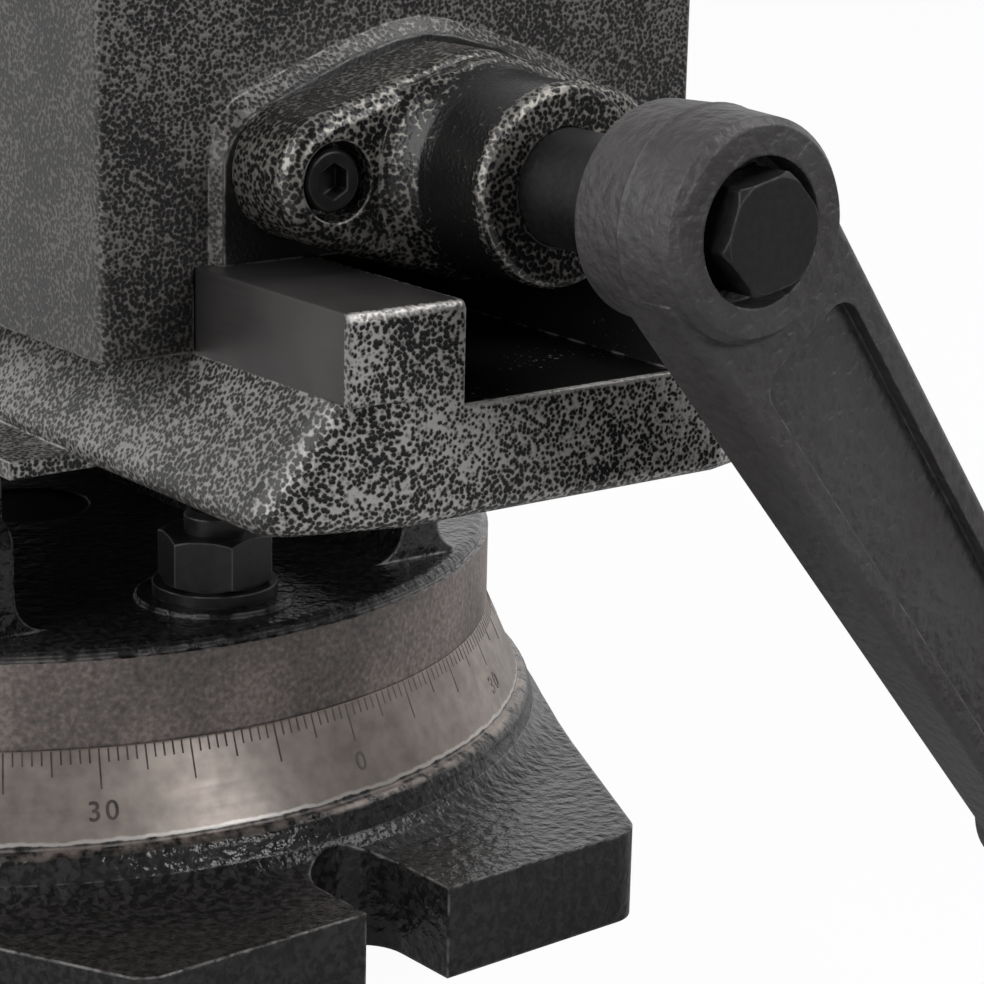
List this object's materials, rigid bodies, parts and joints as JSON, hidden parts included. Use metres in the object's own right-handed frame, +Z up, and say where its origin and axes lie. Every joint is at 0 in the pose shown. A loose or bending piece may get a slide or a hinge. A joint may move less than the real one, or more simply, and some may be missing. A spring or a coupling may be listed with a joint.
{
  "type": "tilting machine vise",
  "caption": "Screw vise on a swivelling, graduated round base with slotted lugs; the bed tilts up on a rear hinge and a hand crank moves the sliding jaw.",
  "frame": {"origin": "on the swivel axis, at the underside of the swivel base, where it rests on the machine table", "axes": "+Z up along the swivel axis; the screw and crank are at the -Y end, the fixed jaw at the +Y end; +X to the right of a person at the crank"},
  "size_m": [0.187, 0.3903, 0.1624],
  "materials": {
    "painted_iron": "hammertone paint over cast iron, satin",
    "ground_iron": "bare machined cast iron",
    "crank_iron": "fine cast surface, dark oxide",
    "black_oxide": "black oxide",
    "zinc_steel": "dull zinc plate",
    "hard_steel": "ground",
    "screw_steel": "turned, oiled",
    "bronze": "turned",
    "grip_steel": "moulded, satin"
  },
  "bodies": {
    "base": {"swivel_base": "painted_iron"},
    "turntable": {"turntable": "painted_iron", "centre_pivot": "screw_steel", "swivel_clamp_bolts": "zinc_steel", "swivel_clamp_washers": "zinc_steel", "swivel_clamp_nuts": "zinc_steel", "tilt_bolt": "zinc_steel", "tilt_washers": "zinc_steel", "tilt_nut": "zinc_steel"},
    "vise": {"vise_body": "painted_iron", "screw_nut": "bronze", "screw_nut_bolts": "black_oxide", "fixed_jaw_plate": "hard_steel", "fixed_plate_screws": "black_oxide", "tilt_lock_studs": "zinc_steel", "tilt_lock_washers": "zinc_steel", "tilt_lock_nuts": "zinc_steel"},
    "jaw": {"movable_jaw": "painted_iron", "movable_jaw_plate": "hard_steel", "movable_plate_screws": "black_oxide", "jaw_keeper": "ground_iron", "jaw_keeper_screws": "black_oxide", "thrust_washers": "bronze", "screw_bracket": "painted_iron", "bracket_screws": "black_oxide"},
    "screw": {"lead_screw": "screw_steel", "crank": "crank_iron", "grip_spindle": "black_oxide"},
    "grip": {"crank_grip": "grip_steel"}
  },
  "joints": [
    {"name": "swivel", "type": "hinge", "parent": "base", "child": "turntable", "pos_m": [0, 0, 0.0369], "axis": [0, 0, 1], "continuous": true},
    {"name": "tilt", "type": "hinge", "parent": "turntable", "child": "vise", "pos_m": [0, 0.072, 0.0769], "axis": [-1, 0, 0], "range_deg": [0, 90]},
    {"name": "jaw_slide", "type": "slide", "parent": "vise", "child": "jaw", "axis": [0, 1, 0], "range_m": [-0.065, 0.015]},
    {"name": "screw_turn", "type": "hinge", "parent": "jaw", "child": "screw", "pos_m": [0, -0.15, 0.1326], "axis": [0, 1, 0], "range_deg": [-5859, 1359]},
    {"name": "grip_spin", "type": "hinge", "parent": "screw", "child": "grip", "pos_m": [0.07363, -0.23, 0.03785], "axis": [0, 1, 0], "continuous": true}
  ],
  "couplings": [
    {"joint": "screw_turn", "follows": "jaw_slide", "rad_per_m": 1570.8}
  ]
}
